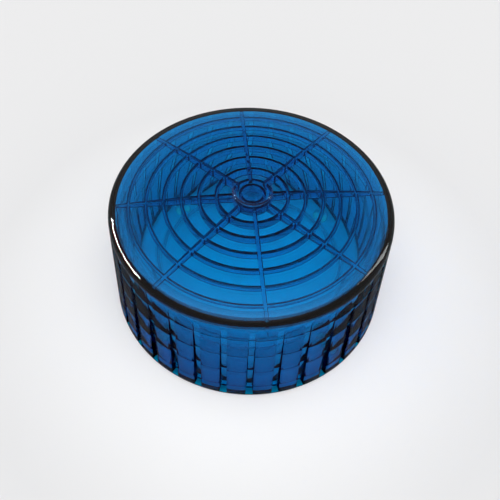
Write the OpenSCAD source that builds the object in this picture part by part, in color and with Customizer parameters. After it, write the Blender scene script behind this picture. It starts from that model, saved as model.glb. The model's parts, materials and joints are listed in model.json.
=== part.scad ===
// Press-and-twist pill crusher: a fluted see-through cap over a grooved crush dish,
// with a storage drum below it that opens through a hinged lid in its floor.
// Millimetres, +Z up, -Y is the front. The origin is the centre of the face it stands on.

/* [Turning cap] */
// Outer diameter at the rim, where the domed top meets the wall
rim_d = 72; // [60:0.5:90]
// Height of the wall, from its lower edge to the rim
skirt_h = 32.4; // [26:0.1:40]
// Outward lean of the wall, in degrees
flare = 3; // [2:0.1:4]
// Wall thickness just under the rim
wall_t = 2; // [1.6:0.1:2.6]
// Thickness of the domed top plate
plate_t = 2; // [1.6:0.1:2.6]
// Rise of the dome over the rim
dome_rise = 2.6; // [1.6:0.1:3.4]
// Outside rounding of the rim
edge_r = 2; // [1:0.1:2.4]
// Gap between the lower edge of the cap and the table
table_gap = 0.4; // [0.3:0.05:0.6]
// Diameter of the centre boss
boss_d = 9.8; // [9:0.1:12]
// Height of the boss over the crown of the dome
boss_rise = 0.4; // [0.3:0.1:1]

/* [Grip grooves] */
// Number of upright grooves round the wall
groove_n = 36; // [24:2:40]
// Width of a groove
groove_w = 1.6; // [1:0.1:2.2]
// How far the floor of a groove lies outside the rim radius
groove_skin = 0; // [0:0.05:0.3]
// Height of the whole band left under the grooves
groove_foot = 0.6; // [0.4:0.1:2]
// Angle of the first groove from +X
groove_turn = 2.5; // [0:0.5:10]

/* [Crushing ribs] */
// Radius of the innermost ring rib
ring_first = 9; // [7.5:0.1:11]
// Distance from one ring rib to the next
ring_pitch = 4.37; // [3.5:0.01:6]
// Width of a ring rib
ring_w = 0.6; // [0.4:0.05:1]
// Number of spoke ribs
spoke_n = 8; // [4:1:12]
// Width of a spoke rib
spoke_w = 0.9; // [0.7:0.1:1.8]
// Angle of the first spoke from +X
spoke_turn = 7.5; // [0:0.5:45]
// Depth of the ribs under the plate where they meet the wall
rib_min = 0.5; // [0.4:0.1:1.4]
// Free gap between the rib tips and the dish
crush_gap = 0.6; // [0.4:0.05:1]

/* [Wall beads] */
// Distance from the rim down to the first inside bead
bead_first = 8.7; // [7:0.1:10]
// Distance from one bead to the next
bead_pitch = 7.3; // [5:0.05:9]
// Height of a bead
bead_h = 0.3; // [0.2:0.05:1]
// How far a bead stands in from the wall
bead_t = 0.1; // [0.05:0.05:0.35]

/* [Centre pivot] */
// Diameter of the pivot post on the dish
pivot_d = 3.1; // [2.4:0.1:4]
// Wall of the bush in the cap
bush_wall = 1; // [0.8:0.1:2]
// Height of the bush
bush_h = 2.6; // [2:0.1:3]
// How far the post ends below the top of the bush
pivot_end = 0.6; // [0.4:0.1:1]

/* [Crush dish] */
// Thickness of the dish
dish_t = 2.4; // [2:0.1:3.4]
// Depth of the ring grooves in the dish
dish_groove = 0.5; // [0.3:0.05:0.8]
// Width of the shoulder that holds the slip ring
shoulder_w = 2; // [1.6:0.1:2.6]
// Height of the slip ring
slip_h = 1.6; // [1.2:0.1:2]
// Height of the collar that stands on the drum
collar_h = 4.4; // [3.6:0.1:6]
// Height of the spigot that goes into the drum
spigot_h = 2.4; // [2:0.1:4]
// Thickness of the spigot
spigot_t = 1.6; // [1.4:0.1:2.2]

/* [Storage drum] */
// Wall thickness of the drum
drum_t = 1.6; // [1.2:0.1:2.2]
// Thickness of the drum floor round the lid
flange_t = 2.4; // [2.2:0.1:3.2]
// Width of the floor ring between the drum wall and the lid's seat
floor_w = 3.95; // [3.7:0.05:6]
// Width of the seat that the lid closes against
seat_w = 2.8; // [2.4:0.1:3.4]
// Thickness of the lid
lid_t = 1; // [0.9:0.1:1.3]
// How far the lid's seal stands out of its groove
seal_stand = 0.15; // [0.1:0.05:0.3]
// Diameter of the hinge pin
pin_d = 1; // [0.8:0.1:1.2]
// Width of the lid's hinge knuckle
knuckle_w = 6; // [5:0.5:8]
// Width of each hinge knuckle on the drum
lug_w = 4; // [3:0.5:5]
// Radius of the finger notch that opens the lid
notch_r = 4; // [3:0.5:5]
// Thickness of the seal rings
seal_d = 1.1; // [0.9:0.1:1.2]

/* [Foot pads] */
// Number of foot pads
foot_n = 4; // [3:1:6]
// Diameter of a foot pad
foot_d = 3.6; // [3:0.1:4]
// Height of a foot pad under the drum
foot_h = 0.8; // [0.7:0.05:1]
// Depth of the pocket that a foot pad sits in
foot_seat = 0.4; // [0.2:0.05:0.6]

/* [Clearances] */
// Radial running clearance of the pivot and of the hinge pin
run_c = 0.05; // [0.03:0.01:0.08]
// Radial clearance between the cap's beads and what is inside them
cap_c = 0.45; // [0.3:0.05:0.6]
// Radial clearance between the dish spigot and the drum
spigot_c = 0.2; // [0.15:0.05:0.3]
// Clearance between the lid and the drum floor
lid_c = 0.3; // [0.2:0.05:0.4]
// Clearance along the axis between faces that slide
face_c = 0.05; // [0.03:0.01:0.08]

/* [Hidden] */
$fn = 96;

clear_blue = [0.02, 0.42, 0.72, 0.8];
clear = [0.85, 0.92, 0.95, 0.5];
soft_clear = [0.8, 0.85, 0.88, 0.8];
steel = [0.7, 0.71, 0.73];

groove_draft = 0.2;   // widening of each side of a groove towards its mouth
bite = 0.4;           // how far a rib or bead reaches into what carries it
arm_root = 2;         // how far the lid's hinge arm runs in over the lid
over = 1;             // how far a cut runs past the surface it opens
dome_steps = 8;       // straight steps in the dome's outline
edge_steps = 8;       // straight steps in the rim's rounding
small_fn = 32;        // sides of the seals' round section
pin_fn = 48;          // sides of the pin and of what turns on it

rim_r = rim_d / 2;
z_rim = table_gap + skirt_h;
bore_r = rim_r - wall_t;

// Height of the dome's outer face over the rim plane at radius r
function dome(r) = dome_rise * (1 - pow(r / rim_r, 2));
// Height of the plate's lower face at radius r
function under(r) = z_rim + dome(r) - plate_t;

// The rim's rounding starts square to the dome and ends square to the wall
edge_from = 90 - atan(2 * dome_rise * (rim_r - edge_r) / pow(rim_r, 2));
edge_x = rim_r - edge_r;
edge_z = z_rim + dome(edge_x + edge_r * cos(edge_from)) - edge_r * sin(edge_from);
foot_r = edge_x + edge_r * cos(flare) + (edge_z + edge_r * sin(flare) - table_gap) * tan(flare);

z_tip = under(bore_r) - rib_min;
z_dish = z_tip - crush_gap;
z_collar = z_dish - collar_h - crush_gap;
inner_r = bore_r - bead_t - cap_c;          // outside of everything under the cap
field_r = inner_r - shoulder_w;             // edge of the dish's grooved face
ring_count = 1 + floor((field_r - ring_w / 2 - ring_first) / ring_pitch);
ring_radii = [for (i = [0:ring_count - 1]) ring_first + i * ring_pitch];
bead_count = 1 + floor((skirt_h - bead_first - 2 * bead_h) / bead_pitch);

boss_r = boss_d / 2;
pivot_r = pivot_d / 2;
bush_bore = pivot_r + run_c;
bush_r = bush_bore + bush_wall;
z_bush = z_tip + bush_h;
z_pivot = z_bush - pivot_end;

drum_bore = inner_r - drum_t;
spigot_r = drum_bore - spigot_c;
seal_r = seal_d / 2;
dish_seal_ring = spigot_r - seal_r + spigot_c / 2;
z_dish_seal = z_collar - spigot_h / 2;

seat_r = drum_bore - floor_w;
port_r = seat_r - seat_w;
lid_r = seat_r - lid_c;
z_seat = foot_h + flange_t / 2;
lid_top = z_seat - seal_stand - face_c;
z_lid_seal = z_seat + seal_r - seal_stand;
lid_seal_ring = port_r + seat_w / 2;
pin_r = pin_d / 2;
knuckle_r = flange_t / 2;
hinge_y = seat_r + knuckle_r + lid_c;
hinge_z = foot_h + flange_t / 2;
hinge_w = knuckle_w + 2 * (lug_w + lid_c / 2);
foot_ring = (seat_r + inner_r) / 2;

module ring_of(count, turn = 0) {
    for (i = [0:count - 1]) rotate([0, 0, turn + i * 360 / count]) children();
}

module tube(r_out, r_in, z0, z1) {
    difference() {
        translate([0, 0, z0]) cylinder(r = r_out, h = z1 - z0);
        translate([0, 0, z0 - over]) cylinder(r = r_in, h = z1 - z0 + 2 * over);
    }
}

module torus(ring, tube_r, z) {
    translate([0, 0, z]) rotate_extrude() translate([ring, 0]) circle(r = tube_r, $fn = small_fn);
}

// Domed plate and leaning wall in one turned outline
module cap_shell() {
    dome_top = [for (i = [0:dome_steps])
        let (r = i / dome_steps * (edge_x + edge_r * cos(edge_from))) [r, z_rim + dome(r)]];
    rounding = [for (i = [1:edge_steps])
        let (a = edge_from + (flare - edge_from) * i / edge_steps)
        [edge_x + edge_r * cos(a), edge_z + edge_r * sin(a)]];
    dome_under = [for (i = [dome_steps:-1:0])
        let (r = i / dome_steps * bore_r) [r, under(r)]];
    rotate_extrude()
        polygon(concat(dome_top, rounding, [[foot_r, table_gap], [bore_r, table_gap]], dome_under));
}

module grip_groove() {
    translate([0, 0, table_gap + groove_foot])
        linear_extrude(skirt_h)
            polygon([
                [rim_r + groove_skin, -groove_w / 2],
                [foot_r + over, -groove_w / 2 - groove_draft],
                [foot_r + over, groove_w / 2 + groove_draft],
                [rim_r + groove_skin, groove_w / 2]
            ]);
}

module spoke_rib() {
    start = boss_r - ring_w / 2;
    reach = bore_r + bite;
    top = [for (i = [dome_steps:-1:0])
        let (r = start + (reach - start) * i / dome_steps) [r, under(r) + bite]];
    rotate([90, 0, 0])
        linear_extrude(spoke_w, center = true)
            polygon(concat([[start, z_tip], [reach, z_tip]], top));
}

module turning_cap() {
    color(clear_blue)
        difference() {
            union() {
                difference() {
                    cap_shell();
                    ring_of(groove_n, groove_turn) grip_groove();
                }
                for (r = ring_radii) tube(r + ring_w / 2, r - ring_w / 2, z_tip, under(r) + bite);
                ring_of(spoke_n, spoke_turn) spoke_rib();
                tube(boss_r, boss_r - ring_w, z_tip, under(boss_r) + bite);
                translate([0, 0, z_tip]) cylinder(r = bush_r + ring_w, h = under(0) + bite - z_tip);
                translate([0, 0, under(0) + bite])
                    cylinder(r = boss_r, h = plate_t - bite + boss_rise);
                for (i = [0:bead_count - 1])
                    tube(bore_r + bite, bore_r - bead_t,
                         z_rim - bead_first - i * bead_pitch - bead_h / 2,
                         z_rim - bead_first - i * bead_pitch + bead_h / 2);
            }
            translate([0, 0, z_tip - over]) cylinder(r = bush_r, h = bush_h + over);
        }
}

module centre_bush() {
    color(soft_clear) tube(bush_r, bush_bore, z_tip, z_bush);
}

// Low-friction ring: the cap's spokes turn on it, and it keeps powder in
module slip_ring() {
    color(soft_clear) tube(inner_r, field_r + lid_c / 2, z_tip - slip_h, z_tip - face_c);
}

module crush_dish() {
    shoulder_z = z_tip - slip_h - face_c;
    color(clear)
        difference() {
            union() {
                rotate_extrude()
                    polygon([
                        [0, z_dish], [field_r, z_dish], [field_r, shoulder_z],
                        [inner_r, shoulder_z], [inner_r, z_collar], [spigot_r, z_collar],
                        [spigot_r, z_collar - spigot_h], [spigot_r - spigot_t, z_collar - spigot_h],
                        [spigot_r - spigot_t, z_dish - dish_t], [0, z_dish - dish_t]
                    ]);
                translate([0, 0, z_dish - bite]) cylinder(r = pivot_r, h = z_pivot - z_dish + bite);
            }
            for (r = ring_radii)
                tube(r + ring_w, r - ring_w, z_dish - dish_groove, z_dish + over);
            torus(dish_seal_ring, seal_r, z_dish_seal);
        }
}

module thrust_washer() {
    color(soft_clear) tube(boss_r - lid_c, bush_bore, z_dish, z_dish + crush_gap - face_c);
}

module dish_seal() {
    color(soft_clear) torus(dish_seal_ring, seal_r, z_dish_seal);
}

module along_x(r, x0, x1, y, z) {
    translate([x0, y, z]) rotate([0, 90, 0]) cylinder(r = r, h = x1 - x0, $fn = pin_fn);
}

module storage_drum() {
    lug_in = knuckle_w / 2 + lid_c / 2;
    pocket = hinge_w / 2 + lid_c / 2;
    color(clear)
        difference() {
            union() {
                difference() {
                    union() {
                        tube(inner_r, drum_bore, foot_h, z_collar);
                        tube(inner_r, port_r, foot_h, foot_h + flange_t);
                    }
                    translate([0, 0, foot_h - over]) cylinder(r = seat_r, h = z_seat - foot_h + over);
                    translate([-pocket, 0, foot_h - over])
                        cube([2 * pocket, hinge_y + knuckle_r + lid_c, z_seat - foot_h + over]);
                    translate([-pocket, hinge_y - knuckle_r - lid_c, foot_h - over])
                        cube([2 * pocket, 2 * (knuckle_r + lid_c), flange_t + 2 * over]);
                }
                for (side = [-1, 1])
                    along_x(knuckle_r, min(side * lug_in, side * (pocket + over)),
                            max(side * lug_in, side * (pocket + over)), hinge_y, hinge_z);
            }
            along_x(pin_r, -hinge_w / 2, hinge_w / 2, hinge_y, hinge_z);
            torus(lid_seal_ring, seal_r, z_lid_seal);
            ring_of(foot_n, 45)
                translate([foot_ring, 0, foot_h - over]) cylinder(d = foot_d, h = foot_seat + over);
            translate([0, -seat_r, foot_h - over]) cylinder(r = notch_r, h = z_seat - foot_h + over);
        }
}

module storage_lid() {
    color(clear)
        difference() {
            union() {
                translate([0, 0, lid_top - lid_t]) cylinder(r = lid_r, h = lid_t);
                translate([-knuckle_w / 2, lid_r - arm_root, lid_top - lid_t])
                    cube([knuckle_w, hinge_y - lid_r + arm_root, lid_t]);
                along_x(knuckle_r, -knuckle_w / 2, knuckle_w / 2, hinge_y, hinge_z);
            }
            along_x(pin_r + run_c, -knuckle_w / 2 - over, knuckle_w / 2 + over, hinge_y, hinge_z);
        }
}

module lid_hinge_pin() {
    color(steel) along_x(pin_r, -hinge_w / 2, hinge_w / 2, hinge_y, hinge_z);
}

module lid_seal() {
    color(soft_clear) torus(lid_seal_ring, seal_r, z_lid_seal);
}

module foot_pads() {
    color(soft_clear)
        ring_of(foot_n, 45)
            translate([foot_ring, 0, 0]) cylinder(d = foot_d, h = foot_h + foot_seat);
}

turning_cap();
centre_bush();
slip_ring();
crush_dish();
thrust_washer();
dish_seal();
storage_drum();
storage_lid();
lid_hinge_pin();
lid_seal();
foot_pads();
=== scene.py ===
import json
import math

import bpy
from mathutils import Matrix, Vector


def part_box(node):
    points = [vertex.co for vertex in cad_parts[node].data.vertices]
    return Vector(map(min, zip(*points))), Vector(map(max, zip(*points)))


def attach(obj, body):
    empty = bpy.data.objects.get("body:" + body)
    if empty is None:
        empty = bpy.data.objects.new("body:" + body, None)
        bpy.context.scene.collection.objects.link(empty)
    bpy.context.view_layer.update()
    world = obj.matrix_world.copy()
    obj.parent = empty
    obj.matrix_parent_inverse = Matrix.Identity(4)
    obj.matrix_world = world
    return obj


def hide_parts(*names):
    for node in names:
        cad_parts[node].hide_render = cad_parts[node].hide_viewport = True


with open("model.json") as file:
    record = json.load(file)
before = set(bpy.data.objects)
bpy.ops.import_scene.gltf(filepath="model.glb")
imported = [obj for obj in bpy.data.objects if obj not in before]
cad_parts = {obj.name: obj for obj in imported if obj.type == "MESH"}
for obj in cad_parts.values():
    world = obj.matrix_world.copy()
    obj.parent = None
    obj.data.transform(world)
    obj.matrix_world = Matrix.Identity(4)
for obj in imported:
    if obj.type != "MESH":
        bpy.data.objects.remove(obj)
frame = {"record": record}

bl_info = {
    "name": "Pill crusher",
    "version": (1, 0, 0),
    "blender": (4, 5, 0),
    "location": "View3D > Sidebar > Crusher",
    "description": "Models a press-and-twist pill crusher piece by piece on its CAD frame",
    "category": "Object",
}

MM = 0.001

# ---------------------------------------------------------------- places taken from the frame

CAP_LOW, CAP_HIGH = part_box("turning_cap")
DISH_LOW, DISH_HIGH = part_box("crush_dish")
DRUM_LOW, DRUM_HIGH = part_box("storage_drum")
LID_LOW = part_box("storage_lid")[0]
BUSH_LOW, BUSH_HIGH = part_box("centre_bush")
SLIP_LOW, SLIP_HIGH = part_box("slip_ring")
WASHER_LOW, WASHER_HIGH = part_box("thrust_washer")
PIN_LOW, PIN_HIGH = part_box("lid_hinge_pin")
DISH_SEAL_LOW, DISH_SEAL_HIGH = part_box("dish_seal")
LID_SEAL_LOW, LID_SEAL_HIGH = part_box("lid_seal")
FEET_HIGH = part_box("foot_pads")[1]

TIP_Z = BUSH_LOW.z          # plane of the rib tips
DISH_Z = WASHER_LOW.z       # crushing face of the dish
INNER_R = SLIP_HIGH.x       # outside of everything under the cap
HINGE = Vector((0, (PIN_LOW.y + PIN_HIGH.y) / 2, (PIN_LOW.z + PIN_HIGH.z) / 2))
AIR = 0.02 * MM             # gap left between pieces that touch, so that each keeps its own surface
JOIN = 0.002 * MM           # points closer than this are one point

# Fillet radii of the moulded edges
TIGHT = 0.1 * MM
FINE = 0.12 * MM
CRISP = 0.15 * MM
SMALL = 0.2 * MM
SOFT = 0.25 * MM
FULL = 0.3 * MM
WIDE = 0.35 * MM
HOLLOW = 0.6 * MM

BLUE_IOR = 1.5
TABLE_W = 3.0               # width of the table, in metres


# ---------------------------------------------------------------- settings

def length(name, description, default_mm):
    """A size in millimetres, as a property with a length unit."""
    return bpy.props.FloatProperty(
        name=name, description=description, default=default_mm * MM,
        min=0, precision=5, unit="LENGTH",
    )


def colour(name, description, default):
    """A linear colour."""
    return bpy.props.FloatVectorProperty(
        name=name, description=description, default=default,
        size=3, min=0, max=1, subtype="COLOR",
    )


class CapSizes(bpy.types.PropertyGroup):
    """Sizes of the turning cap."""
    rim_r: length("Rim radius", "Outer radius where the dome meets the wall", 36)
    wall: length("Wall", "Wall thickness just under the rim", 2)
    plate: length("Plate", "Thickness of the domed plate", 2)
    skirt: length("Skirt", "Height of the wall up to the rim", 32.4)
    rise: length("Dome rise", "Rise of the dome over the rim", 2.6)
    edge: length("Rim rounding", "Outside rounding of the rim", 2)
    boss_r: length("Boss radius", "Radius of the centre boss", 4.9)
    ring_first: length("First ring", "Radius of the innermost ring rib", 9)
    ring_pitch: length("Ring pitch", "Distance between ring ribs", 4.37)
    ring_w: length("Ring width", "Width of a ring rib at its tip", 0.55)
    spoke_w: length("Spoke width", "Width of a spoke rib", 0.9)
    groove_w: length("Groove width", "Width of a grip groove", 1.6)
    groove_skin: length("Groove skin", "How far a groove's floor lies outside the rim radius", 0)
    groove_foot: length("Groove foot", "Whole band left under the grooves", 0.6)
    bead_first: length("First bead", "Distance from the rim down to the first inside bead", 8.7)
    bead_pitch: length("Bead pitch", "Distance between beads", 7.3)
    bead_h: length("Bead height", "Height of a bead", 0.3)
    bead_t: length("Bead depth", "How far a bead stands in", 0.06)
    rings: bpy.props.IntProperty(name="Rings", description="Number of ring ribs", default=6, min=1)
    beads: bpy.props.IntProperty(name="Beads", description="Number of inside beads", default=4, min=1)
    spokes: bpy.props.IntProperty(name="Spokes", description="Number of spoke ribs", default=8, min=2)
    grooves: bpy.props.IntProperty(name="Grooves", description="Number of grip grooves", default=36, min=2)
    spoke_turn: bpy.props.FloatProperty(
        name="Spoke turn", description="Angle of the first spoke from +X",
        default=math.radians(7.5), subtype="ANGLE")
    groove_turn: bpy.props.FloatProperty(
        name="Groove turn", description="Angle of the first groove from +X",
        default=math.radians(2.5), subtype="ANGLE")


class BaseSizes(bpy.types.PropertyGroup):
    """Sizes of the pieces under the cap."""
    shoulder: length("Shoulder", "Width of the shoulder under the slip ring", 2)
    groove_deep: length("Dish groove", "Depth of the ring grooves in the dish", 0.5)
    dish_t: length("Dish", "Thickness of the dish", 2.4)
    pivot_r: length("Pivot radius", "Radius of the pivot post", 1.55)
    spigot_t: length("Spigot", "Thickness of the spigot", 1.6)
    drum_t: length("Drum wall", "Wall thickness of the drum", 1.6)
    floor_t: length("Drum floor", "Thickness of the drum floor", 2.4)
    floor_w: length("Floor ring", "Width of the floor ring outside the lid seat", 3.95)
    seat_w: length("Lid seat", "Width of the seat the lid closes against", 2.8)
    lid_t: length("Lid", "Thickness of the lid", 1)
    knuckle_w: length("Knuckle", "Width of the lid's knuckle", 6)
    gap: length("Lid gap", "Clearance round the lid and its hinge", 0.3)
    notch_r: length("Finger notch", "Radius of the notch that opens the lid", 4)
    foot_r: length("Foot radius", "Radius of a foot pad", 1.8)
    foot_seat: length("Foot seat", "Depth of the pocket of a foot pad", 0.4)
    foot_turn: bpy.props.FloatProperty(
        name="Foot turn", description="Angle of the first foot pad",
        default=math.radians(45), subtype="ANGLE")


class Finishes(bpy.types.PropertyGroup):
    """Colours and surface of each material, with painted shade on the cap's rim and grip pads and a painted
    pool of light on the table.
    """
    blue_tone: colour("Blue plastic", "Light that passes the skin of the blue plastic", (0.0, 0.89, 1.0))
    # Painted shade: the grip pads are tinted darker than the plate so that they look shaded.
    pad_shade_tone: colour("Grip pads", "Light that passes the skin between the grooves", (0.0, 0.76, 0.88))
    # Painted shade: the rounded rim is tinted almost black so that it looks like a dark band.
    rim_shade_tone: colour("Rim", "Light that passes the rounded rim", (0.0, 0.1, 0.2))
    blue_filter: colour("Blue depth", "Light that gets through the blue plastic's depth", (0.0, 0.75, 0.89))
    blue_density: bpy.props.FloatProperty(
        name="Blue density", description="Strength of the blue plastic's filter, per metre",
        default=1000, min=0)
    clear_filter: colour("Clear plastic", "Light that the clear plastic lets through", (0.42, 0.5, 0.54))
    soft_tone: colour("Soft plastic", "Colour of the translucent small parts", (0.55, 0.62, 0.66))
    pin_tone: colour("Pin", "Colour of the steel pin", (0.62, 0.62, 0.63))
    # Painted pool of light: the table is light near the crusher and darker further out.
    table_in_light_pool: colour("Table", "Colour of the table near the crusher", (0.97, 0.97, 0.97))
    table_outside_light_pool: colour("Far table", "Colour of the table further out", (0.715, 0.715, 0.72))


class StageSizes(bpy.types.PropertyGroup):
    """Camera and light."""
    camera_out: length("Camera distance", "How far the camera stands in front of the axis", 96.61)
    camera_up: length("Camera height", "Height of the camera over the table", 141.48)
    camera_pitch: bpy.props.FloatProperty(
        name="Camera pitch", description="How far the camera looks down", default=math.radians(48.372),
        subtype="ANGLE")
    camera_roll: bpy.props.FloatProperty(
        name="Camera roll", description="Turn of the camera about its own axis",
        default=math.radians(2.902), subtype="ANGLE")
    lens: bpy.props.FloatProperty(name="Lens", description="Focal length", default=41.52, unit="CAMERA")
    shift_x: bpy.props.FloatProperty(
        name="Shift X", description="Sideways shift of the lens", default=-0.0047)
    shift_y: bpy.props.FloatProperty(
        name="Shift Y", description="Upward shift of the lens", default=-0.1053)


# ---------------------------------------------------------------- modelling helpers

def deselect():
    """Leaves object mode with nothing selected."""
    if bpy.context.object and bpy.context.object.mode != "OBJECT":
        bpy.ops.object.mode_set(mode="OBJECT")
    bpy.ops.object.select_all(action="DESELECT")


def only(piece):
    """Makes one object the selected and active one."""
    deselect()
    piece.select_set(True)
    bpy.context.view_layer.objects.active = piece
    return piece


def settle(piece):
    """Puts the piece's place, turn and scale into its mesh."""
    only(piece)
    bpy.ops.object.transform_apply(location=True, rotation=True, scale=True)
    return piece


def close_up(piece):
    """Merges doubled points and points every face outwards."""
    only(piece)
    bpy.ops.object.mode_set(mode="EDIT")
    bpy.ops.mesh.select_all(action="SELECT")
    bpy.ops.mesh.remove_doubles(threshold=JOIN)
    bpy.ops.mesh.normals_make_consistent(inside=False)
    bpy.ops.object.mode_set(mode="OBJECT")
    return piece


def smooth(piece, degrees=32):
    """Shades smoothly across edges that bend less than the given angle."""
    only(piece)
    bpy.ops.object.shade_smooth_by_angle(angle=math.radians(degrees))
    return piece


def arc(centre, radius, start, end, steps):
    """Points of an arc from one angle to another, in degrees."""
    return [
        (centre[0] + radius * math.cos(a), centre[1] + radius * math.sin(a))
        for a in (math.radians(start + (end - start) * i / steps) for i in range(steps + 1))
    ]


def rounded(corners, bend=20):
    """An outline from corners (r, z) or (r, z, fillet radius), with fillets in steps of bend degrees."""
    points = []
    for i, corner in enumerate(corners):
        here = Vector(corner[:2])
        if len(corner) < 3:
            points.append(tuple(here))
            continue
        back = Vector(corners[i - 1][:2]) - here
        on = Vector(corners[(i + 1) % len(corners)][:2]) - here
        room = 0.48 * min(back.length, on.length)
        back.normalize()
        on.normalize()
        angle = back.angle(on)
        radius = min(corner[2], room * math.tan(angle / 2))
        centre = here + (back + on).normalized() * radius / math.sin(angle / 2)
        first = here + back * radius / math.tan(angle / 2) - centre
        last = here + on * radius / math.tan(angle / 2) - centre
        sweep = math.pi - angle
        steps = max(2, math.ceil(math.degrees(sweep) / bend))
        for k in range(steps + 1):
            t = k / steps
            spoke = (first * math.sin((1 - t) * sweep) + last * math.sin(t * sweep)) / math.sin(sweep)
            points.append(tuple(centre + spoke))
    return points


def turned(name, points, closed=False, steps=144):
    """Draws a half-section point by point and spins it round the Z axis into a closed body."""
    deselect()
    bpy.ops.mesh.primitive_plane_add(size=MM, location=(points[0][0], 0, points[0][1]))
    piece = settle(bpy.context.object)
    piece.name = name
    bpy.ops.object.mode_set(mode="EDIT")
    bpy.ops.mesh.select_mode(type="VERT")
    bpy.ops.mesh.select_all(action="SELECT")
    bpy.ops.mesh.merge(type="CENTER")
    route = points + points[:1] if closed else points
    for a, b in zip(route, route[1:]):
        bpy.ops.mesh.extrude_region_move(
            TRANSFORM_OT_translate={"value": (b[0] - a[0], 0, b[1] - a[1])})
    bpy.ops.mesh.select_all(action="SELECT")
    bpy.ops.mesh.remove_doubles(threshold=JOIN)
    bpy.ops.mesh.spin(steps=steps, angle=2 * math.pi, center=(0, 0, 0), axis=(0, 0, 1))
    bpy.ops.object.mode_set(mode="OBJECT")
    return close_up(piece)


def block(name, low, high):
    """A box between two corners."""
    deselect()
    low, high = Vector(low), Vector(high)
    bpy.ops.mesh.primitive_cube_add(size=1, location=(low + high) / 2)
    piece = bpy.context.object
    piece.name = name
    piece.scale = high - low
    return settle(piece)


def rod_along(name, axis, radius, start, end, sides=48):
    """A round bar along X or Z between two points."""
    deselect()
    start, end = Vector(start), Vector(end)
    bpy.ops.mesh.primitive_cylinder_add(
        vertices=sides, radius=radius, depth=(end - start).length, location=(start + end) / 2,
        rotation=(0, math.radians(90), 0) if axis == "X" else (0, 0, 0))
    piece = bpy.context.object
    piece.name = name
    return settle(piece)


def pick_edges(piece, wanted):
    """Enters edit mode with only the edges selected whose two end points pass the test."""
    only(piece)
    bpy.ops.object.mode_set(mode="EDIT")
    bpy.ops.mesh.select_mode(type="EDGE")
    bpy.ops.mesh.select_all(action="DESELECT")
    bpy.ops.object.mode_set(mode="OBJECT")
    points = piece.data.vertices
    for edge in piece.data.edges:
        edge.select = wanted(*(points[i].co for i in edge.vertices))
    bpy.ops.object.mode_set(mode="EDIT")


def bevel_picked(width):
    """Bevels the selected edges and leaves edit mode."""
    bpy.ops.mesh.bevel(offset=width, segments=3, affect="EDGES")
    bpy.ops.object.mode_set(mode="OBJECT")


def copies_round(piece, count, start):
    """The piece copied round the Z axis, all joined into one object."""
    made = []
    for i in range(count):
        copy = piece.copy()
        copy.data = piece.data.copy()
        bpy.context.collection.objects.link(copy)
        copy.rotation_euler.z = start + i * 2 * math.pi / count
        made.append(settle(copy))
    bpy.data.objects.remove(piece)
    deselect()
    for copy in made:
        copy.select_set(True)
    bpy.context.view_layer.objects.active = made[0]
    bpy.ops.object.join()
    return bpy.context.object


def combine(piece, tool, operation):
    """Adds the tool to the piece, or takes it away, and removes the tool."""
    only(piece)
    bpy.ops.object.modifier_add(type="BOOLEAN")
    modifier = piece.modifiers[-1]
    modifier.object = tool
    modifier.operation = operation
    modifier.solver = "MANIFOLD"
    bpy.ops.object.modifier_apply(modifier=modifier.name)
    bpy.data.objects.remove(tool)
    return piece


def finish_piece(piece, node, material):
    """Gives the piece its material and its body, and hides the CAD node it stands for."""
    smooth(piece)
    piece.data.materials.clear()
    piece.data.materials.append(material)
    body = next(b for b, nodes in frame["record"]["behaviour"]["bodies"].items() if node in nodes)
    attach(piece, body)
    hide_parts(node)
    deselect()
    return piece


# ---------------------------------------------------------------- material helpers

class Value:
    """A number socket that can be used in ordinary arithmetic."""

    def __init__(self, tree, socket):
        self.tree = tree
        self.socket = socket

    def maths(self, operation, *others, swap=False):
        terms = [self, *others]
        if swap:
            terms.reverse()
        out = self.tree.node("ShaderNodeMath", {"operation": operation}, dict(enumerate(terms)))
        return Value(self.tree, out.outputs[0])

    def __add__(self, other):
        return self.maths("ADD", other)

    __radd__ = __add__

    def __mul__(self, other):
        return self.maths("MULTIPLY", other)

    __rmul__ = __mul__

    def __sub__(self, other):
        return self.maths("SUBTRACT", other)

    def __rsub__(self, other):
        return self.maths("SUBTRACT", other, swap=True)

    def __pow__(self, other):
        return self.maths("POWER", other)

    def above(self, edge, soft):
        """Rises smoothly from 0 to 1 round the given edge."""
        out = self.tree.node(
            "ShaderNodeMapRange", {"interpolation_type": "SMOOTHSTEP"},
            {"Value": self, "From Min": edge - soft, "From Max": edge + soft})
        return Value(self.tree, out.outputs["Result"])


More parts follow.
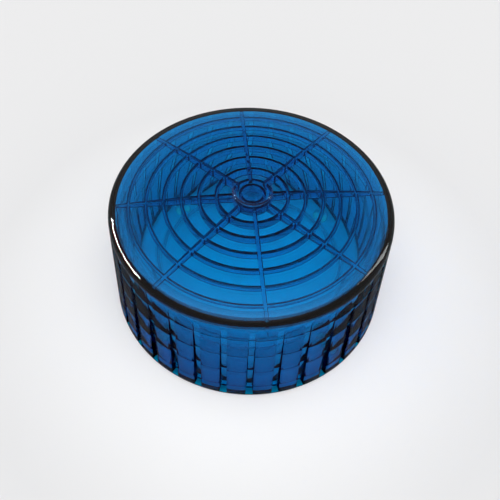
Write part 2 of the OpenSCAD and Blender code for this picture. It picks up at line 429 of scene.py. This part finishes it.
class Tree:
    """A node tree that is written as plain calls."""

    def __init__(self, owner):
        owner.use_nodes = True
        self.nodes = owner.node_tree.nodes
        self.links = owner.node_tree.links
        self.nodes.clear()

    def node(self, kind, settings=None, inputs=None):
        made = self.nodes.new(kind)
        for key, value in (settings or {}).items():
            setattr(made, key, value)
        for key, value in (inputs or {}).items():
            self.set(made.inputs[key], value)
        return made

    def set(self, socket, value):
        if isinstance(value, Value):
            value = value.socket
        if isinstance(value, bpy.types.NodeSocket):
            self.links.new(value, socket)
        else:
            socket.default_value = value

    def places(self, scale=(1, 1, 1)):
        """Object coordinates in millimetres, stretched by scale."""
        where = self.node("ShaderNodeTexCoord")
        return self.node(
            "ShaderNodeMapping", {},
            {"Vector": where.outputs["Object"], "Scale": [s / MM for s in scale]}).outputs["Vector"]

    def parts(self, space="Object"):
        """The three coordinates of that space."""
        where = self.node("ShaderNodeTexCoord").outputs[space]
        out = self.node("ShaderNodeSeparateXYZ", {}, {"Vector": where})
        return [Value(self, socket) for socket in out.outputs]

    def blend(self, amount, low, high):
        """A colour between two others."""
        return self.node("ShaderNodeMix", {"data_type": "RGBA"}, {
            "Factor": amount, "A": low, "B": high}).outputs["Result"]

    def mixed(self, amount, first, second):
        """A shader node between two others."""
        return self.node("ShaderNodeMixShader", {}, {
            0: amount, 1: first.outputs[0], 2: second.outputs[0]})

    def noise(self, size_mm, detail=2.0, stretch=(1, 1, 1)):
        """Cloudy noise whose blobs are about the given size."""
        out = self.node(
            "ShaderNodeTexNoise", {"noise_dimensions": "3D"},
            {"Vector": self.places(stretch), "Scale": 1 / size_mm, "Detail": detail})
        return Value(self, out.outputs["Fac"])

    def edge(self):
        """Rises from 0 to 1 as the surface turns away from the eye."""
        out = self.node("ShaderNodeLayerWeight", {}, {"Blend": 0.35})
        return Value(self, out.outputs["Facing"])

    def bump(self, height, depth_mm, strength=1.0):
        """A normal from a height that spans the given depth."""
        return self.node(
            "ShaderNodeBump", {},
            {"Height": height, "Distance": depth_mm * MM, "Strength": strength}).outputs["Normal"]

    def end(self, surface, volume=None):
        """Links the material's output."""
        made = self.node("ShaderNodeOutputMaterial", {}, {"Surface": surface})
        if volume is not None:
            self.set(made.inputs["Volume"], volume)


def blue_plastic(finishes, cap):
    """Polished blue see-through plastic, coloured through its depth, a little rougher on the grip pads,
    with painted shade that tints the grip pads and the rim darker.
    """
    material = bpy.data.materials.new("blue_plastic")
    tree = Tree(material)
    waves = tree.bump(tree.noise(9.0, 2.0), 0.05, 0.5)
    haze = tree.noise(3.0, 4.0)
    scratches = tree.noise(0.35, 3.0, stretch=(1, 0.06, 1)).above(0.66, 0.03)
    x, y, z = tree.parts()
    radius = (x * x + y * y) ** 0.5

    # Masks of the rounded rim, of the wall's outside and of the grip pads between its grooves; the rim and
    # pad masks also place painted shade.
    blur, line = 0.2 * MM, 0.05 * MM
    rim = radius.above(cap.rim_r - 1.6 * MM, blur) * z.above(CAP_LOW.z + cap.skirt - cap.edge, blur)
    wall = radius.above(cap.rim_r - 0.1 * MM, line) * (1 - rim)
    pads = radius.above(cap.rim_r + cap.groove_skin + 0.07 * MM, line) * (1 - rim)
    # Painted shade: the rim takes most of the dark rim tone.
    rim_painted_shade = 0.75 * rim

    # Painted shade: the pad tone darkens the grip pads and the rim tone darkens the rim.
    plate_tone, pad_shade_tone, rim_shade_tone = (
        (*tone, 1) for tone in (finishes.blue_tone, finishes.pad_shade_tone, finishes.rim_shade_tone))
    shell = tree.node("ShaderNodeBsdfPrincipled", {}, {
        "Base Color": tree.blend(rim_painted_shade, tree.blend(pads, plate_tone, pad_shade_tone), rim_shade_tone),
        "Roughness": 0.015 + 0.03 * haze.above(0.6, 0.2) + 0.05 * scratches + 0.06 * pads,
        "IOR": BLUE_IOR,
        "Transmission Weight": 1.0,
        "Normal": waves,
    })

    # The skin lets light in without a reflection, so a face with more of it shines less.
    plate_skin, pad_shaded_skin, rim_shaded_skin = (
        tree.node("ShaderNodeBsdfRefraction", {}, {"Color": tone, "IOR": BLUE_IOR, "Normal": waves})
        for tone in (plate_tone, pad_shade_tone, rim_shade_tone))
    skin = tree.mixed(rim_painted_shade, tree.mixed(pads, plate_skin, pad_shaded_skin), rim_shaded_skin)
    skin_share = 0.48 + 0.42 * wall + 0.25 * rim
    depth = tree.node("ShaderNodeVolumeAbsorption", {}, {
        "Color": (*finishes.blue_filter, 1), "Density": finishes.blue_density})
    tree.end(tree.mixed(skin_share, shell, skin).outputs[0], depth.outputs[0])
    return material


def clear_plastic(finishes):
    """Colourless polished plastic that shows mostly at its edges."""
    material = bpy.data.materials.new("clear_plastic")
    tree = Tree(material)
    haze = tree.noise(4.0, 3.0)
    edge = tree.edge()
    shell = tree.node("ShaderNodeBsdfPrincipled", {}, {
        "Base Color": (*finishes.clear_filter, 1),
        "Roughness": 0.05 + 0.08 * haze.above(0.62, 0.15),
        "IOR": 1.49,
        "Alpha": 0.02 + 0.02 * haze + 0.45 * edge ** 3,
        "Normal": tree.bump(tree.noise(7.0), 0.02, 0.4),
    })
    tree.end(shell.outputs[0])
    return material


def soft_plastic(name, tone, rough):
    """Translucent soft plastic or silicone."""
    material = bpy.data.materials.new(name)
    tree = Tree(material)
    grain = tree.noise(0.25, 2.0)
    edge = tree.edge()
    shell = tree.node("ShaderNodeBsdfPrincipled", {}, {
        "Base Color": (*tone, 1),
        "Roughness": rough + 0.1 * grain,
        "IOR": 1.41,
        "Alpha": 0.2 + 0.1 * grain + 0.4 * edge ** 3,
        "Normal": tree.bump(grain, 0.01, 0.3),
    })
    tree.end(shell.outputs[0])
    return material


def pin_steel(finishes):
    """Drawn steel wire, with fine rings left by the die."""
    material = bpy.data.materials.new("pin_steel")
    tree = Tree(material)
    draw = tree.noise(0.08, 2.0, stretch=(0.05, 1, 1))
    shell = tree.node("ShaderNodeBsdfPrincipled", {}, {
        "Base Color": (*finishes.pin_tone, 1),
        "Metallic": 1.0,
        "Roughness": 0.22 + 0.15 * draw,
        "Normal": tree.bump(draw, 0.004, 0.4),
    })
    tree.end(shell.outputs[0])
    return material


def material_named(name, make, *words):
    """The material of that name, made once."""
    return bpy.data.materials.get(name) or make(*words)


def low_friction_plastic(finishes):
    """The slippery plastic of the bush, the slip ring and the washer."""
    name = "low_friction_plastic"
    return material_named(name, soft_plastic, name, finishes.soft_tone, 0.12)


def clear_silicone(finishes):
    """The silicone of the seals and the foot pads."""
    name = "clear_silicone"
    return material_named(name, soft_plastic, name, finishes.soft_tone, 0.3)


# ---------------------------------------------------------------- outlines

def dome(cap, r):
    """Height of the cap's outer face at radius r."""
    rim_z = CAP_LOW.z + cap.skirt
    return rim_z + cap.rise * (1 - (r / cap.rim_r) ** 2)


def ring_radii(cap):
    return [cap.ring_first + i * cap.ring_pitch for i in range(cap.rings)]


def cap_outline(cap):
    """Half-section of the cap: dome, rim, leaning wall, beads, ring ribs and boss."""
    bore = cap.rim_r - cap.wall
    slope = math.degrees(math.atan(2 * cap.rise * (cap.rim_r - cap.edge) / cap.rim_r ** 2))
    foot_r = CAP_HIGH.x
    lean = math.degrees(math.atan((foot_r - cap.rim_r) / (cap.skirt - cap.edge)))
    edge_x = cap.rim_r - cap.edge
    edge_top = edge_x + cap.edge * math.sin(math.radians(slope))
    edge_z = dome(cap, edge_top) - cap.edge * math.cos(math.radians(slope))

    def under(r):
        return dome(cap, r) - cap.plate

    corners = [(0, CAP_HIGH.z), (cap.boss_r, CAP_HIGH.z, WIDE),
               (cap.boss_r + 0.05 * MM, dome(cap, cap.boss_r), FULL)]
    rows = 22
    first = cap.boss_r + 1.2 * MM
    corners += [(r, dome(cap, r)) for r in
                (first + (edge_top - first) * i / rows for i in range(rows))]
    corners += arc((edge_x, edge_z), cap.edge, 90 - slope, lean, 12)
    corners += [(foot_r, CAP_LOW.z, FULL), (bore, CAP_LOW.z, SOFT)]
    rim_z = CAP_LOW.z + cap.skirt
    for i in reversed(range(cap.beads)):
        z = rim_z - cap.bead_first - i * cap.bead_pitch
        half = cap.bead_h / 2
        corners += [(bore, z - half - 0.1 * MM, TIGHT), (bore - cap.bead_t, z - half + 0.1 * MM, TIGHT),
                    (bore - cap.bead_t, z + half - 0.1 * MM, TIGHT), (bore, z + half + 0.1 * MM, TIGHT)]
    corners.append((bore, under(bore), TIGHT))
    half, draft, root, tip = cap.ring_w / 2, 0.06 * MM, 0.2 * MM, 0.14 * MM
    for r in reversed(ring_radii(cap)):
        corners += [(r + half + draft, under(r + half), root), (r + half, TIP_Z, tip),
                    (r - half, TIP_Z, tip), (r - half - draft, under(r - half), root)]
        middle = r - cap.ring_pitch / 2
        if middle > cap.boss_r + MM:
            corners.append((middle, under(middle)))
    socket = BUSH_HIGH.x
    collar, inside = socket + cap.ring_w, cap.boss_r - cap.ring_w
    corners += [(cap.boss_r + draft, under(cap.boss_r), root), (cap.boss_r, TIP_Z, tip),
                (inside, TIP_Z, tip), (inside - draft, under(inside), root),
                (collar + draft, under(collar), root), (collar, TIP_Z, tip),
                (socket, TIP_Z, TIGHT), (socket, BUSH_HIGH.z), (0, BUSH_HIGH.z)]
    return rounded(corners)


# ---------------------------------------------------------------- operators

class CRUSHER_OT_cap(bpy.types.Operator):
    """Model the fluted, ribbed, see-through turning cap"""
    bl_idname = "crusher.cap"
    bl_label = "Turning cap"

    def execute(self, context):
        cap = context.scene.crusher_cap
        finishes = context.scene.crusher_finish
        shell = turned("cap", cap_outline(cap), steps=216)

        bore = cap.rim_r - cap.wall
        start, reach = cap.boss_r - cap.ring_w / 2, bore + 0.4 * MM
        top_in = dome(cap, start) - cap.plate + 0.8 * MM
        top_out = dome(cap, reach) - cap.plate + 0.8 * MM
        spoke = block("spoke", (start, -cap.spoke_w / 2, TIP_Z), (reach, cap.spoke_w / 2, top_in))
        for v in spoke.data.vertices:
            if v.co.z > TIP_Z + MM and v.co.x > bore:
                v.co.z = top_out
        pick_edges(spoke, lambda a, b: max(a.z, b.z) < TIP_Z + AIR and abs(a.x - b.x) > MM)
        bevel_picked(SMALL)
        combine(shell, copies_round(spoke, cap.spokes, cap.spoke_turn), "UNION")

        floor = cap.rim_r + cap.groove_skin
        over = MM
        groove = block("groove", (floor, -cap.groove_w / 2, CAP_LOW.z + cap.groove_foot),
                       (CAP_HIGH.x + over, cap.groove_w / 2, CAP_LOW.z + cap.skirt))
        for v in groove.data.vertices:
            if v.co.x > floor + over:
                v.co.y *= 1.25
        pick_edges(groove, lambda a, b: abs(a.x - floor) < AIR and abs(b.x - floor) < AIR)
        bevel_picked(SMALL)
        combine(shell, copies_round(groove, cap.grooves, cap.groove_turn), "DIFFERENCE")
        finish_piece(shell, "turning_cap", material_named("blue_plastic", blue_plastic, finishes, cap))
        return {"FINISHED"}


class CRUSHER_OT_bush(bpy.types.Operator):
    """Model the bush that the cap turns on"""
    bl_idname = "crusher.bush"
    bl_label = "Centre bush"

    def execute(self, context):
        base = context.scene.crusher_base
        finishes = context.scene.crusher_finish
        bore = base.pivot_r + 0.05 * MM
        out = BUSH_HIGH.x - AIR
        low, high = BUSH_LOW.z, BUSH_HIGH.z - AIR
        bush = turned("bush", rounded([
            (bore, low, SMALL), (out, low, SMALL),
            (out, high, SMALL), (bore, high, SMALL)]), closed=True, steps=96)
        finish_piece(bush, "centre_bush", low_friction_plastic(finishes))
        return {"FINISHED"}


class CRUSHER_OT_slip_ring(bpy.types.Operator):
    """Model the slip ring that the spokes turn on"""
    bl_idname = "crusher.slip_ring"
    bl_label = "Slip ring"

    def execute(self, context):
        base = context.scene.crusher_base
        finishes = context.scene.crusher_finish
        bore = INNER_R - base.shoulder + base.gap / 2
        low, high = SLIP_LOW.z, SLIP_HIGH.z
        ring = turned("slide_ring", rounded([
            (bore, low, SMALL), (INNER_R, low, SMALL),
            (INNER_R, high, FULL), (bore, high, FULL)]), closed=True)
        finish_piece(ring, "slip_ring", low_friction_plastic(finishes))
        return {"FINISHED"}


class CRUSHER_OT_dish(bpy.types.Operator):
    """Model the clear crush dish with its ring grooves, collar and spigot"""
    bl_idname = "crusher.dish"
    bl_label = "Crush dish"

    def execute(self, context):
        cap = context.scene.crusher_cap
        base = context.scene.crusher_base
        finishes = context.scene.crusher_finish
        field = INNER_R - base.shoulder
        corners = [(0, DISH_HIGH.z), (base.pivot_r, DISH_HIGH.z, SOFT), (base.pivot_r, DISH_Z, SMALL)]
        for r in ring_radii(cap):
            low = DISH_Z - base.groove_deep
            corners += [(r - cap.ring_w, DISH_Z, FINE), (r - cap.ring_w + 0.1 * MM, low, SMALL),
                        (r + cap.ring_w - 0.1 * MM, low, SMALL), (r + cap.ring_w, DISH_Z, FINE)]
        shoulder_z = SLIP_LOW.z - AIR
        collar_z = DRUM_HIGH.z + AIR
        spigot_r = DISH_SEAL_HIGH.x - 0.1 * MM
        seal_r = (DISH_SEAL_HIGH.z - DISH_SEAL_LOW.z) / 2
        seal_z = (DISH_SEAL_HIGH.z + DISH_SEAL_LOW.z) / 2
        seal_ring_r = DISH_SEAL_HIGH.x - seal_r
        bite = math.degrees(math.acos((spigot_r - seal_ring_r) / (seal_r + AIR)))
        corners += [(field, DISH_Z, SMALL), (field, shoulder_z, CRISP), (INNER_R, shoulder_z, SMALL),
                    (INNER_R, collar_z, SMALL), (spigot_r, collar_z, TIGHT)]
        corners += arc((seal_ring_r, seal_z), seal_r + AIR, bite, 360 - bite, 12)
        inner = spigot_r - base.spigot_t
        corners += [(spigot_r, DISH_LOW.z, FULL), (inner, DISH_LOW.z, FULL),
                    (inner, DISH_Z - base.dish_t, HOLLOW), (0, DISH_Z - base.dish_t)]
        dish = turned("dish", rounded(corners))
        finish_piece(dish, "crush_dish", material_named("clear_plastic", clear_plastic, finishes))
        return {"FINISHED"}


class CRUSHER_OT_washer(bpy.types.Operator):
    """Model the thrust washer under the cap's boss"""
    bl_idname = "crusher.washer"
    bl_label = "Thrust washer"

    def execute(self, context):
        base = context.scene.crusher_base
        finishes = context.scene.crusher_finish
        bore, out = base.pivot_r + 0.25 * MM, WASHER_HIGH.x
        low, high = WASHER_LOW.z + AIR, WASHER_HIGH.z
        washer = turned("washer", rounded([
            (bore, low, FINE), (out, low, FINE),
            (out, high, FINE), (bore, high, FINE)]), closed=True, steps=96)
        finish_piece(washer, "thrust_washer", low_friction_plastic(finishes))
        return {"FINISHED"}


def seal_ring(name, low, high):
    """A round-section ring with the fine line its mould leaves."""
    radius = (high.z - low.z) / 2
    centre = (high.x - radius, (high.z + low.z) / 2)
    points = arc(centre, radius - 0.01 * MM, 8, 352, 22)
    points.append((high.x - AIR / 2, centre[1]))
    return turned(name, points, closed=True)


class CRUSHER_OT_seals(bpy.types.Operator):
    """Model the seal rings of the dish and of the lid"""
    bl_idname = "crusher.seals"
    bl_label = "Seal rings"

    def execute(self, context):
        rubber = clear_silicone(context.scene.crusher_finish)
        finish_piece(seal_ring("dish_seal_ring", DISH_SEAL_LOW, DISH_SEAL_HIGH), "dish_seal", rubber)
        finish_piece(seal_ring("lid_seal_ring", LID_SEAL_LOW, LID_SEAL_HIGH), "lid_seal", rubber)
        return {"FINISHED"}


class CRUSHER_OT_drum(bpy.types.Operator):
    """Model the clear storage drum with its lid seat, hinge lugs and foot pockets"""
    bl_idname = "crusher.drum"
    bl_label = "Storage drum"

    def execute(self, context):
        base = context.scene.crusher_base
        finishes = context.scene.crusher_finish
        low, high = DRUM_LOW.z, DRUM_HIGH.z
        bore = INNER_R - base.drum_t
        floor = low + base.floor_t
        seat = bore - base.floor_w
        port = seat - base.seat_w
        seat_z = low + base.floor_t / 2
        seal_r = (LID_SEAL_HIGH.z - LID_SEAL_LOW.z) / 2
        seal_z = (LID_SEAL_HIGH.z + LID_SEAL_LOW.z) / 2
        seal_ring_r = LID_SEAL_HIGH.x - seal_r
        bite = math.degrees(math.asin((seal_z - seat_z) / (seal_r + AIR)))
        corners = [(INNER_R, low, SOFT), (INNER_R, high, SOFT), (bore, high, SOFT),
                   (bore, floor, HOLLOW), (port, floor, SOFT), (port, seat_z, CRISP)]
        corners += arc((seal_ring_r, seal_z), seal_r + AIR, 180 + bite, -bite, 12)
        corners += [(seat, seat_z, TIGHT), (seat, low, SMALL)]
        drum = turned("drum", rounded(corners), closed=True)

        knuckle = base.floor_t / 2
        pocket = PIN_HIGH.x + base.gap / 2
        near, far = HINGE.y - knuckle - base.gap, HINGE.y + knuckle + base.gap
        hinge_room = block("hinge_room", (-pocket, near, low - MM), (pocket, far, floor + MM))
        combine(drum, hinge_room, "DIFFERENCE")
        arm_room = block("arm_room", (-pocket, port, low - MM), (pocket, near + MM, seat_z))
        combine(drum, arm_room, "DIFFERENCE")
        lug_in = base.knuckle_w / 2 + base.gap / 2
        for side in (-1, 1):
            lug = rod_along("lug", "X", knuckle - AIR, (side * lug_in, HINGE.y, HINGE.z),
                            (side * (pocket + MM), HINGE.y, HINGE.z))
            combine(drum, lug, "UNION")
        pin_hole = rod_along("pin_hole", "X", PIN_HIGH.z - HINGE.z + AIR,
                             (PIN_LOW.x - AIR, HINGE.y, HINGE.z), (PIN_HIGH.x + AIR, HINGE.y, HINGE.z))
        combine(drum, pin_hole, "DIFFERENCE")
        foot_ring = (seat + INNER_R) / 2
        well = rod_along("well", "Z", base.foot_r + AIR, (foot_ring, 0, low - MM),
                         (foot_ring, 0, low + base.foot_seat + AIR))
        combine(drum, copies_round(well, 4, base.foot_turn), "DIFFERENCE")
        notch = rod_along("notch", "Z", base.notch_r, (0, -seat, low - MM), (0, -seat, seat_z))
        combine(drum, notch, "DIFFERENCE")
        finish_piece(drum, "storage_drum", material_named("clear_plastic", clear_plastic, finishes))
        return {"FINISHED"}


class CRUSHER_OT_lid(bpy.types.Operator):
    """Model the hinged lid of the pill store"""
    bl_idname = "crusher.lid"
    bl_label = "Storage lid"

    def execute(self, context):
        base = context.scene.crusher_base
        finishes = context.scene.crusher_finish
        seat = INNER_R - base.drum_t - base.floor_w
        edge = seat - base.gap
        low = LID_LOW.z
        high = low + base.lid_t
        dip = 0.25 * MM
        lid = turned("lid", rounded([
            (0, high), (edge, high, SMALL), (edge, low, SOFT),
            (edge - 3 * MM, low, FULL), (edge - 3.4 * MM, low + dip, FULL), (0, low + dip)]))
        half = base.knuckle_w / 2
        arm = block("arm", (-half, edge - 2 * MM, low), (half, HINGE.y, high))
        combine(lid, arm, "UNION")
        knuckle = rod_along("knuckle", "X", base.floor_t / 2 - AIR, (-half, HINGE.y, HINGE.z),
                            (half, HINGE.y, HINGE.z))
        combine(lid, knuckle, "UNION")
        hole = rod_along("hole", "X", PIN_HIGH.z - HINGE.z + 0.05 * MM, (-half - MM, HINGE.y, HINGE.z),
                         (half + MM, HINGE.y, HINGE.z))
        combine(lid, hole, "DIFFERENCE")
        finish_piece(lid, "storage_lid", material_named("clear_plastic", clear_plastic, finishes))
        return {"FINISHED"}


class CRUSHER_OT_pin(bpy.types.Operator):
    """Model the steel hinge pin with its chamfered ends"""
    bl_idname = "crusher.pin"
    bl_label = "Hinge pin"

    def execute(self, context):
        finishes = context.scene.crusher_finish
        pin = rod_along("hinge_pin", "X", PIN_HIGH.z - HINGE.z, (PIN_LOW.x, HINGE.y, HINGE.z),
                        (PIN_HIGH.x, HINGE.y, HINGE.z))
        pick_edges(pin, lambda a, b: abs(a.x - b.x) < AIR)
        bevel_picked(CRISP)
        finish_piece(pin, "lid_hinge_pin", material_named("pin_steel", pin_steel, finishes))
        return {"FINISHED"}


class CRUSHER_OT_feet(bpy.types.Operator):
    """Model the foot pads"""
    bl_idname = "crusher.feet"
    bl_label = "Foot pads"

    def execute(self, context):
        base = context.scene.crusher_base
        finishes = context.scene.crusher_finish
        seat = INNER_R - base.drum_t - base.floor_w
        foot_ring = (seat + INNER_R) / 2
        high = FEET_HIGH.z
        foot = turned("feet", rounded([
            (0, high), (base.foot_r, high, CRISP), (base.foot_r, 0, WIDE), (0, 0)]), steps=48)
        foot.location.x = foot_ring
        feet = copies_round(settle(foot), 4, base.foot_turn)
        feet.name = "feet"
        finish_piece(feet, "foot_pads", clear_silicone(finishes))
        return {"FINISHED"}


def sky(world):
    """Even soft light, stronger overhead and in front, with a dim patch high at the back."""
    tree = Tree(world)
    y, z = tree.parts("Generated")[1:]
    overhead = (0.94 * z - 0.34 * y).above(0.84, 0.14)
    patch = (0.77 * z + 0.64 * y).above(0.91, 0.05)
    light = (0.95 + 1.28 * overhead) * (1 - 0.85 * patch)
    back = tree.node("ShaderNodeBackground", {}, {"Color": (1, 1, 1, 1), "Strength": light})
    tree.node("ShaderNodeOutputWorld", {}, {"Surface": back.outputs[0]})


def shine_card(name, toward, wide, high, power, away=0.6):
    """A glowing card that shows only as a reflection, aimed at the crusher from the given direction."""
    lamp = bpy.data.lights.new(name, "AREA")
    lamp.shape = "RECTANGLE"
    lamp.size = wide
    lamp.size_y = high
    lamp.energy = power
    card = bpy.data.objects.new(name, lamp)
    bpy.context.collection.objects.link(card)
    direction = Vector(toward).normalized()
    card.location = direction * away + Vector((0, 0, CAP_HIGH.z))
    card.rotation_euler = direction.to_track_quat("Z", "Y").to_euler()
    card.visible_diffuse = False
    card.visible_transmission = False
    card.visible_volume_scatter = False
    return card


class CRUSHER_OT_stage(bpy.types.Operator):
    """Set the table, the light and the camera"""
    bl_idname = "crusher.stage"
    bl_label = "Stage"

    def execute(self, context):
        finishes = context.scene.crusher_finish
        stage = context.scene.crusher_stage
        deselect()
        bpy.ops.mesh.primitive_plane_add(size=TABLE_W, location=(0, 0, 0))
        table = bpy.context.object
        table.name = "table"
        white = bpy.data.materials.new("table_white")
        tree = Tree(white)
        x, y = tree.parts()[:2]
        # Painted pool of light: the table is lighter near the axis and fades darker between 25 and 85 mm
        # out, with a faint random mottle.
        far = ((x * x + y * y) ** 0.5).above(55 * MM, 30 * MM) + 0.1 * tree.noise(40.0, 3.0)
        tone = tree.blend(far, (*finishes.table_in_light_pool, 1), (*finishes.table_outside_light_pool, 1))
        tree.end(tree.node("ShaderNodeBsdfPrincipled", {}, {
            "Base Color": tone, "Roughness": 0.9, "Specular IOR Level": 0.0}).outputs[0])
        table.data.materials.append(white)

        scene = context.scene
        scene.world = bpy.data.worlds.new("soft_sky")
        sky(scene.world)
        scene.view_settings.view_transform = "Standard"
        scene.cycles.max_bounces = 32
        scene.cycles.transmission_bounces = 28
        scene.cycles.glossy_bounces = 12
        scene.cycles.transparent_max_bounces = 48

        shine_card("left_streak", (-0.86, 0.11, 0.46), wide=0.42, high=0.05, power=28)
        shine_card("right_window", (0.85, 0.2, 0.5), wide=0.12, high=0.45, power=3)

        camera = bpy.data.objects.new("camera", bpy.data.cameras.new("camera"))
        context.collection.objects.link(camera)
        camera.matrix_world = (
            Matrix.Translation((0, -stage.camera_out, stage.camera_up))
            @ Matrix.Rotation(math.pi / 2 - stage.camera_pitch, 4, "X")
            @ Matrix.Rotation(stage.camera_roll, 4, "Z"))
        camera.data.lens = stage.lens
        camera.data.sensor_width = 36
        camera.data.shift_x = stage.shift_x
        camera.data.shift_y = stage.shift_y
        camera.data.clip_start = MM
        scene.camera = camera
        return {"FINISHED"}


class CRUSHER_PT_panel(bpy.types.Panel):
    """Lists the pieces in the sidebar"""
    bl_label = "Pill crusher"
    bl_space_type = "VIEW_3D"
    bl_region_type = "UI"
    bl_category = "Crusher"

    def draw(self, context):
        for operator in OPERATORS:
            self.layout.operator(operator.bl_idname)


OPERATORS = (
    CRUSHER_OT_stage, CRUSHER_OT_cap, CRUSHER_OT_bush, CRUSHER_OT_slip_ring, CRUSHER_OT_dish,
    CRUSHER_OT_washer, CRUSHER_OT_seals, CRUSHER_OT_drum, CRUSHER_OT_lid, CRUSHER_OT_pin, CRUSHER_OT_feet,
)
GROUPS = {
    "crusher_cap": CapSizes,
    "crusher_base": BaseSizes,
    "crusher_finish": Finishes,
    "crusher_stage": StageSizes,
}


def register():
    for group in GROUPS.values():
        bpy.utils.register_class(group)
    for name, group in GROUPS.items():
        setattr(bpy.types.Scene, name, bpy.props.PointerProperty(type=group))
    for shown in (*OPERATORS, CRUSHER_PT_panel):
        bpy.utils.register_class(shown)


def unregister():
    for shown in (CRUSHER_PT_panel, *reversed(OPERATORS)):
        bpy.utils.unregister_class(shown)
    for name, group in GROUPS.items():
        delattr(bpy.types.Scene, name)
        bpy.utils.unregister_class(group)


def main():
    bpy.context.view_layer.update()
    register()
    for operator in OPERATORS:
        group, name = operator.bl_idname.split(".")
        getattr(getattr(bpy.ops, group), name)()


if __name__ == "__main__":
    main()
